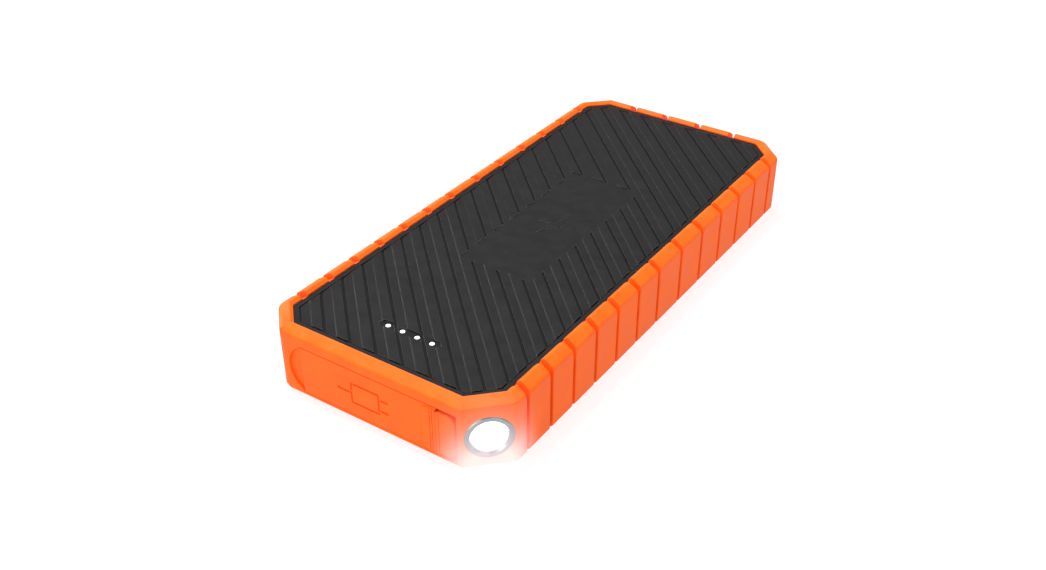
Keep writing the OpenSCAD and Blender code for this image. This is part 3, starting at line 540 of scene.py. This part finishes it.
# The finish of each material slot of the CAD
slotFinish = {
    "bumper_rubber": "bumperRubber", "cover_plastic": "coverPlastic", "seal_rubber": "sealRubber",
    "screw_steel": "screwSteel", "socket_blue": "socketBlue", "contact_gold": "contactGold",
    "plug_steel": "plugSteel", "insulator_white": "insulatorWhite", "insulator_black": "insulatorBlack",
    "circuit_board": "circuitBoard", "ferrite": "ferriteGrey", "chip_black": "chipBlack",
    "heat_aluminium": "heatAluminium", "can_aluminium": "canAluminium", "cell_foil": "cellFoil",
    "tape": "tapeAmber", "foam": "foamGrey", "nickel": "tabNickel", "lead_red": "leadRed",
    "lead_black": "leadBlack", "bezel_metal": "bezelMetal", "torch_glow": "torchGlow",
    "reflector_mirror": "reflectorMirror", "led_glow": "ledGlow", "torch_core": "torchCore",
    "gauge_glow": "gaugeGlow", "ribbon_film": "ribbonFilm", "button_rubber": "bumperRubber",
}

for node in nodes.values():
    for place in node.material_slots:
        place.material = materials[slotFinish[place.material.name.split(".")[0]]]
print("finishes made and given to", len(nodes), "nodes")

copying = {
    "merge": 0.01 * mm,
    "flat": 0.6,  # degrees between faces that count as one
    "sliver": 0.002 * mm,
}


# A copy of a CAD shape, as whole faces that can be softened
def copyNode(nodeName, pieceName):
    piece = nodes[nodeName].copy()
    piece.data = piece.data.copy()
    piece.name = pieceName
    piece.parent = None
    bpy.context.scene.collection.objects.link(piece)
    pick(piece)
    bpy.ops.mesh.customdata_custom_splitnormals_clear()
    bpy.ops.object.mode_set(mode="EDIT")
    bpy.ops.mesh.select_all(action="SELECT")
    bpy.ops.mesh.remove_doubles(threshold=copying["merge"])
    bpy.ops.mesh.dissolve_limited(angle_limit=math.radians(copying["flat"]))
    bpy.ops.mesh.select_all(action="DESELECT")
    bpy.ops.object.mode_set(mode="OBJECT")
    return piece


# Bevels every edge that turns by at least so many degrees and that wanted(middle, along) takes
def softenEdges(piece, wanted, least, width, segments):
    pick(piece)
    bpy.ops.object.mode_set(mode="EDIT")
    bpy.ops.mesh.select_mode(type="EDGE")
    bpy.ops.mesh.select_all(action="DESELECT")
    bpy.ops.object.mode_set(mode="OBJECT")
    mesh = piece.data
    normals = {}
    for face in mesh.polygons:
        for key in face.edge_keys:
            normals.setdefault(key, []).append(face.normal.copy())
    found = False
    for edge in mesh.edges:
        pair = normals.get(edge.key, [])
        if len(pair) != 2 or pair[0].angle(pair[1]) < math.radians(least):
            continue
        start = mesh.vertices[edge.vertices[0]].co
        end = mesh.vertices[edge.vertices[1]].co
        if wanted((start + end) / 2, end - start):
            edge.select = True
            found = True
    bpy.ops.object.mode_set(mode="EDIT")
    if found:
        bpy.ops.mesh.bevel(
            offset=width, segments=segments, affect="EDGES", clamp_overlap=False, loop_slide=True
        )
    bpy.ops.mesh.select_all(action="DESELECT")
    bpy.ops.object.mode_set(mode="OBJECT")


# Draws a bevel that overshoots back into the node's CAD box, and melts slivers
def trimPiece(piece, nodeName):
    low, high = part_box(nodeName)
    for vertex in piece.data.vertices:
        vertex.co = [min(max(vertex.co[axis], low[axis]), high[axis]) for axis in range(3)]
    pick(piece)
    bpy.ops.object.mode_set(mode="EDIT")
    bpy.ops.mesh.select_all(action="SELECT")
    bpy.ops.mesh.dissolve_degenerate(threshold=copying["sliver"])
    bpy.ops.mesh.select_all(action="DESELECT")
    bpy.ops.object.mode_set(mode="OBJECT")


def smoothPiece(piece, angle):
    pick(piece)
    bpy.ops.object.shade_smooth_by_angle(angle=math.radians(angle))
    bpy.ops.object.modifier_add(type="WEIGHTED_NORMAL")
    piece.modifiers[-1].keep_sharp = True
    bpy.ops.object.modifier_apply(modifier=piece.modifiers[-1].name)


# How each kind of edge is rounded, then where the pack's own edges, corners and openings are
bumper = {
    "plainCorner": {"least": 20, "width": 1.5 * mm, "segments": 4},
    "torchCorner": {"least": 20, "width": 0.3 * mm, "segments": 2},
    "topLine": {"least": 15, "width": 0.7 * mm, "segments": 3},
    "footLine": {"least": 15, "width": 0.35 * mm, "segments": 2},
    "ridge": {"least": 15, "width": 0.1 * mm, "segments": 2},
    "padEdge": {"least": 28, "width": 0.25 * mm, "segments": 2},
    "smooth": 35,
    "ridgeHeight": 23.2 * mm,
    "ridgeEnd": -80.0 * mm,
    "padStart": -78.0 * mm,  # pads in front of this keep their upper edges
    "topLineHeight": 21.4 * mm,
    "footLineHeight": 2.6 * mm,
    "inner": 35.56 * mm,  # the ring's inside at the sides, the ends and, as x + y, the corners
    "innerEnd": 85.06 * mm,
    "innerCorner": 115.2 * mm,
    "cornerSide": (39.9 * mm, 76.0 * mm),
    "cornerEnd": (88.9 * mm, 28.5 * mm),
    "cornerHeight": 10.0 * mm,
    "upright": 0.98,  # height of an upright edge, as a share of its length
    "torchAxis": (34.9 * mm, -83.9 * mm, 11.6 * mm),
    "torchClear": 7.6 * mm,
    "boreCorner": (26.0 * mm, -74.0 * mm),
    "buttonPocket": (-73.05 * mm, -63.75 * mm),
    "buttonDepth": (-39.8 * mm, -30.0 * mm),
    "recess": (-31.0 * mm, 28.4 * mm),
    "recessDepth": (-88.95 * mm, -84.0 * mm),
}


def softenBumper(piece):
    def upright(middle, along):
        tall = abs(along.z) > bumper["upright"] * along.length and along.length > bumper["cornerHeight"]
        side = abs(middle.x) > bumper["cornerSide"][0] and abs(middle.y) > bumper["cornerSide"][1]
        end = abs(middle.y) > bumper["cornerEnd"][0] and abs(middle.x) > bumper["cornerEnd"][1]
        return tall and (side or end)

    def atTorch(middle):
        return middle.x > 0 and middle.y < 0

    def plainCorner(middle, along):
        return upright(middle, along) and not atTorch(middle)

    def torchCorner(middle, along):
        return upright(middle, along) and atTorch(middle)

    def level(middle, along, height):
        return abs(along.z) < near and abs(middle.z - height) < near

    def topLine(middle, along):
        return level(middle, along, bumper["topLineHeight"])

    def footLine(middle, along):
        return level(middle, along, bumper["footLineHeight"])

    # The rim's flat is too narrow at the front for the pads' rounding
    def ridge(middle, along):
        return level(middle, along, bumper["ridgeHeight"]) and middle.y < bumper["ridgeEnd"]

    def atButton(middle):
        low, high = bumper["buttonPocket"]
        outer, inner = bumper["buttonDepth"]
        return low < middle.y < high and outer < middle.x < inner

    # Inside the flap's recess only the edges on the front are rounded
    def inRecess(middle):
        low, high = bumper["recess"]
        outer, inner = bumper["recessDepth"]
        return low < middle.x < high and outer < middle.y < inner

    def inTorchBore(middle):
        axis = bumper["torchAxis"]
        across = abs((middle.x - axis[0]) + (middle.y - axis[1])) / math.sqrt(2)
        inCorner = middle.x > bumper["boreCorner"][0] and middle.y < bumper["boreCorner"][1]
        return inCorner and math.hypot(across, middle.z - axis[2]) < bumper["torchClear"]

    def padEdge(middle, along):
        if middle.z > bumper["ridgeHeight"] - near and middle.y < bumper["padStart"]:
            return False
        if atButton(middle) or inRecess(middle) or inTorchBore(middle):
            return False
        outside = abs(middle.x) > bumper["inner"] or abs(middle.y) > bumper["innerEnd"]
        diagonal = abs(middle.x) + abs(middle.y) > bumper["innerCorner"]
        return outside or diagonal

    softenEdges(piece, plainCorner, **bumper["plainCorner"])
    softenEdges(piece, torchCorner, **bumper["torchCorner"])
    softenEdges(piece, topLine, **bumper["topLine"])
    softenEdges(piece, footLine, **bumper["footLine"])
    softenEdges(piece, ridge, **bumper["ridge"])
    softenEdges(piece, padEdge, **bumper["padEdge"])


bumperRubber = copyNode("bumper", "bumperRubber")
softenBumper(bumperRubber)
trimPiece(bumperRubber, "bumper")
smoothPiece(bumperRubber, bumper["smooth"])
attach(bumperRubber, "casing")
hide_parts("bumper")
print("bumper softened")

flap = {
    "grip": {"least": 28, "width": 0.55 * mm, "segments": 4},
    "rim": {"least": 28, "width": 0.2 * mm, "segments": 2},
    "strap": {"least": 28, "width": 0.22 * mm, "segments": 2},
    "smooth": 35,
    "reachOut": 0.2 * mm,  # how far the edges are drawn out
    "low": 3.75 * mm,
    "high": 18.25 * mm,
    "face": -88.98 * mm,
    "gripEnd": -24.2 * mm,
    "strapFace": -89.2 * mm,
    "strapEnd": (17.4 * mm, 19.6 * mm),
}


def softenFlap(piece):
    # The soft edges all but touch the bumper round them
    for vertex in piece.data.vertices:
        if abs(vertex.co.x - flap["gripEnd"]) < near:
            vertex.co.x -= flap["reachOut"]
        if abs(vertex.co.z - flap["low"]) < near:
            vertex.co.z -= flap["reachOut"]
        if abs(vertex.co.z - flap["high"]) < near:
            vertex.co.z += flap["reachOut"]

    def grip(middle, along):
        return abs(middle.x - flap["gripEnd"] + flap["reachOut"]) < near and middle.y < flap["face"]

    def rim(middle, along):
        onFace = abs(middle.y - flap["face"]) < near
        edge = middle.z < flap["low"] or middle.z > flap["high"]
        return onFace and edge and abs(along.z) < near

    def strap(middle, along):
        low, high = flap["strapEnd"]
        return middle.y < flap["strapFace"] and low < middle.x < high

    softenEdges(piece, grip, **flap["grip"])
    softenEdges(piece, rim, **flap["rim"])
    softenEdges(piece, strap, **flap["strap"])


flapRubber = copyNode("port_flap", "flapRubber")
softenFlap(flapRubber)
smoothPiece(flapRubber, flap["smooth"])
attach(flapRubber, "flap")
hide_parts("port_flap")

anchor = {
    "outline": {"least": 28, "width": 0.25 * mm, "segments": 2},
    "smooth": 35,
    "face": -89.4 * mm,
    "start": 23.8 * mm,
}


def softenAnchor(piece):
    def outline(middle, along):
        return middle.y < anchor["face"] and middle.x > anchor["start"]

    softenEdges(piece, outline, **anchor["outline"])


anchorRubber = copyNode("flap_anchor", "anchorRubber")
softenAnchor(anchorRubber)
smoothPiece(anchorRubber, anchor["smooth"])
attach(anchorRubber, "casing")
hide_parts("flap_anchor")
print("flap and anchor softened")

# The thin rubber web that the flap bends on
web = {
    "low": (21.66 * mm, -89.46 * mm, 4.5 * mm),
    "high": (22.34 * mm, -88.9 * mm, 17.5 * mm),
    "flapSide": 21.7 * mm,
    "casingSide": 22.3 * mm,
    "bendFace": -89.5 * mm,
    "crease": 0.14 * mm,  # depth of the crease along the bend, then half its width
    "creaseHalf": 0.12 * mm,
    "skin": 0.01 * mm,
    "cuts": 9,
    "smooth": 50,
}


def makeWeb():
    low = Vector(web["low"])
    high = Vector(web["high"])
    deselectAll()
    bpy.ops.mesh.primitive_cube_add(size=1, location=(low + high) / 2, scale=high - low)
    piece = bpy.context.object
    piece.name = "hingeWeb"
    bpy.ops.object.transform_apply(location=True, rotation=True, scale=True)
    bpy.ops.object.mode_set(mode="EDIT")
    bpy.ops.mesh.select_all(action="SELECT")
    bpy.ops.mesh.subdivide(number_cuts=web["cuts"])
    bpy.ops.mesh.select_all(action="DESELECT")
    bpy.ops.object.mode_set(mode="OBJECT")
    middle = (low.x + high.x) / 2
    for vertex in piece.data.vertices:
        vertex.select = abs(vertex.co.x - middle) < web["creaseHalf"] and vertex.co.y < low.y + web["skin"]
    bpy.ops.object.mode_set(mode="EDIT")
    bpy.ops.transform.translate(value=(0, web["crease"], 0))
    bpy.ops.object.mode_set(mode="OBJECT")
    piece.data.materials.append(materials["bumperRubber"])
    bpy.ops.object.shade_smooth_by_angle(angle=math.radians(web["smooth"]))
    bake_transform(piece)


makeWeb()
print("hinge web made")

cover = {
    "outside": {"least": 28, "width": 0.1 * mm, "segments": 1},
    "smooth": 30,
    "top": 21.5 * mm,
    "bottom": 1.7 * mm,
    "shortest": 0.9 * mm,  # edges of small round holes are left as they are
}


def softenCover(piece):
    def outside(middle, along):
        outer = middle.z > cover["top"] or middle.z < cover["bottom"]
        return outer and along.length > cover["shortest"]

    softenEdges(piece, outside, **cover["outside"])


for coverNode, coverName in (("top_cover", "coverTop"), ("bottom_cover", "coverBottom")):
    coverPiece = copyNode(coverNode, coverName)
    softenCover(coverPiece)
    trimPiece(coverPiece, coverNode)
    smoothPiece(coverPiece, cover["smooth"])
    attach(coverPiece, "casing")
    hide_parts(coverNode)
print("covers softened")

button = {
    "cap": {"least": 25, "width": 0.25 * mm, "segments": 3},
    "smooth": 35,
    "face": -39.2 * mm,
}


def softenButton(piece):
    def cap(middle, along):
        return middle.x < button["face"]

    softenEdges(piece, cap, **button["cap"])


buttonRubber = copyNode("power_button", "buttonRubber")
softenButton(buttonRubber)
trimPiece(buttonRubber, "power_button")
smoothPiece(buttonRubber, button["smooth"])
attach(buttonRubber, "button")
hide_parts("power_button")
print("button softened")

studio = {
    "floorHalf": 3.0,
    "floorColour": (0.2, 0.2, 0.2, 1.0),
    "floorSecond": (0.197, 0.197, 0.197, 1.0),
    "floorCloud": 6.0,
    "floorLift": 0.84,
    "floorFade": (0.25, 0.70),  # where the lift starts to grow to full white, and where it is full
    "skyShown": 1.0,
    "skyLight": 0.5,
}


# A matt floor, lifted to a plain white that fades in away from the object
def makeFloor():
    material = bpy.data.materials.new("studioFloor")
    material.use_nodes = True
    tree = material.node_tree
    shader = tree.nodes["Principled BSDF"]
    coordinates = tree.nodes.new("ShaderNodeTexCoord").outputs["Object"]
    cloud = noiseNode(tree, coordinates, studio["floorCloud"], detail=2.0)
    colour = mixColour(tree, cloud, studio["floorColour"], studio["floorSecond"])
    tree.links.new(colour, shader.inputs["Base Color"])
    shader.inputs["Roughness"].default_value = 0.9
    shader.inputs["Specular IOR Level"].default_value = 0.0
    shader.inputs["Emission Color"].default_value = (1.0, 1.0, 1.0, 1.0)
    away = tree.nodes.new("ShaderNodeVectorMath")
    away.operation = "LENGTH"
    tree.links.new(coordinates, away.inputs[0])
    lift = rangeNode(tree, away.outputs["Value"], *studio["floorFade"], studio["floorLift"], 1.0)
    tree.links.new(lift, shader.inputs["Emission Strength"])
    deselectAll()
    bpy.ops.mesh.primitive_plane_add(size=2 * studio["floorHalf"], location=(0, 0, 0))
    floor = bpy.context.object
    floor.name = "studioFloor"
    floor.data.materials.append(material)


white = (1.0, 1.0, 1.0)
pinkish = (1.0, 0.92, 0.96)

# Where each lamp is, what it points at, how wide it is and its power in watts
lamps = {
    "keyLight": {
        "place": (-0.22, 0.0, 0.8), "aim": (0, -0.02, 0.01), "size": 0.45, "power": 8.0, "colour": white,
    },
    "frontFill": {
        "place": (0.0, -0.8, 0.3), "aim": (0, 0, 0.01), "size": 0.6, "power": 2.0, "colour": white,
    },
    "rightFill": {
        "place": (0.7, -0.3, 0.35), "aim": (0, 0, 0.01), "size": 0.6, "power": 1.0, "colour": pinkish,
    },
    "leftStrip": {
        "place": (-0.62, -0.02, 0.17), "aim": (0, 0, 0.02), "size": 0.3, "power": 1.1, "colour": white,
    },
}


def addLamp(name, values):
    deselectAll()
    bpy.ops.object.light_add(
        type="AREA", location=values["place"], rotation=turnTowards(values["place"], values["aim"])
    )
    lamp = bpy.context.object
    lamp.name = name
    lamp.data.shape = "DISK"
    lamp.data.size = values["size"]
    lamp.data.energy = values["power"]
    lamp.data.color = values["colour"]


# The sky shows white behind the floor, but lights the object more softly
def makeWorld():
    world = bpy.data.worlds.new("studioWhite")
    bpy.context.scene.world = world
    world.use_nodes = True
    tree = world.node_tree
    sky = tree.nodes["Background"]
    sky.inputs["Color"].default_value = (1.0, 1.0, 1.0, 1.0)
    seen = tree.nodes.new("ShaderNodeLightPath").outputs["Is Camera Ray"]
    strength = mathNode(tree, "MULTIPLY", seen, studio["skyShown"] - studio["skyLight"])
    tree.links.new(mathNode(tree, "ADD", strength, studio["skyLight"]), sky.inputs["Strength"])


makeFloor()
makeWorld()
for lampName, lampValues in lamps.items():
    addLamp(lampName, lampValues)
bpy.context.scene.view_settings.view_transform = "Standard"
print("floor and lights set")
